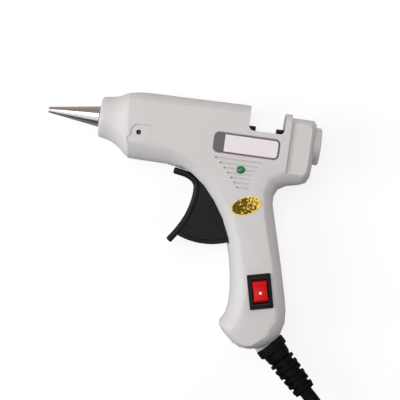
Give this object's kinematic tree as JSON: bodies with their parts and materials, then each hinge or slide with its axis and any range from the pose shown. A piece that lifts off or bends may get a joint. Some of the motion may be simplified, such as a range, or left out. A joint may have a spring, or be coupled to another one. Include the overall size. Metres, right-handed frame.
{
  "type": "hot glue gun",
  "caption": "Mini trigger-fed hot glue gun lying on its right side, with rocker switch, lamp, strain relief, coiled mains cord and two-pin plug.",
  "frame": {"origin": "on the surface the gun lies on, under the middle of the gun's own box without its cord, strain relief and plug", "axes": "+X along the barrel from the nozzle to the glue stick's inlet, +Y from the grip to the top of the barrel, +Z from the right half shell up to the left one"},
  "size_m": [0.1715, 0.2372, 0.0297],
  "materials": {
    "shell_grey": "fine satin texture",
    "black_nylon": "satin",
    "nozzle_alloy": "turned",
    "chamber_alloy": "cast",
    "steel": "plain",
    "brass": "plain",
    "ceramic": "unglazed ceramic",
    "amber_film": "clear film",
    "silicone": "matt",
    "switch_red": "gloss",
    "green_lens": "gloss",
    "board_green": "coated",
    "wire_white": "plain",
    "cord_black": "satin",
    "plate_white": "satin label stock, blank",
    "foil_gold": "metallic foil, blank"
  },
  "bodies": {
    "housing": {"clamp_screw_1": "steel", "clamp_screw_2": "steel", "cord_clamp": "black_nylon", "cord_coil": "cord_black", "cord_jacket": "cord_black", "cord_lead": "cord_black", "cord_tail": "cord_black", "cord_tie": "wire_white", "foil_patch": "foil_gold", "front_ring": "ceramic", "heater_film": "amber_film", "heater_lead_live": "wire_white", "heater_lead_neutral": "wire_white", "heating_chamber": "chamber_alloy", "housing_screw_1": "steel", "housing_screw_2": "steel", "housing_screw_3": "steel", "housing_screw_4": "steel", "housing_screw_5": "steel", "inlet_sleeve": "silicone", "lamp_board": "board_green", "lamp_lead_live": "wire_white", "lamp_lead_neutral": "wire_white", "lamp_lens": "green_lens", "left_shell": "shell_grey", "lower_electrode": "brass", "mains_lead_live": "wire_white", "mains_lead_neutral": "wire_white", "nozzle": "nozzle_alloy", "plug_blade_1": "brass", "plug_blade_2": "brass", "plug_body": "cord_black", "ptc_heater": "ceramic", "rating_plate": "plate_white", "rear_guide": "black_nylon", "return_spring": "steel", "right_shell": "shell_grey", "sleeve_clamp": "steel", "strain_relief": "cord_black", "switch_body": "black_nylon", "switch_terminal_1": "brass", "switch_terminal_2": "brass", "trigger_pin": "steel", "upper_electrode": "brass", "wire_splice": "wire_white"},
    "trigger": {"trigger": "black_nylon"},
    "carriage": {"carriage": "black_nylon", "gripper_pin": "steel"},
    "gripper": {"gripper": "steel"},
    "rocker": {"switch_rocker": "switch_red"}
  },
  "joints": [
    {"name": "trigger_squeeze", "type": "hinge", "parent": "housing", "child": "trigger", "pos_m": [0.01595, 0.02306, 0.013], "axis": [0, 0, 1], "range_deg": [0, 24], "stiffness_Nm_per_rad": 0.06, "springref_deg": -17.19},
    {"name": "carriage_slide", "type": "slide", "parent": "housing", "child": "carriage", "axis": [-1, 0, 0], "range_m": [0, 0.0083], "deforming": ["return_spring"]},
    {"name": "gripper_tilt", "type": "hinge", "parent": "carriage", "child": "gripper", "pos_m": [0.01809, 0.04887, 0.013], "axis": [0, 0, 1], "range_deg": [-16, 0]},
    {"name": "rocker_press", "type": "hinge", "parent": "housing", "child": "rocker", "pos_m": [0.04546, -0.02813, 0.0264], "axis": [0.9732, 0.23, 0], "range_deg": [0, 16]}
  ],
  "couplings": [
    {"joint": "carriage_slide", "follows": "trigger_squeeze", "m_per_rad": 0.019793},
    {"joint": "gripper_tilt", "follows": "trigger_squeeze", "ratio": -0.66667}
  ]
}
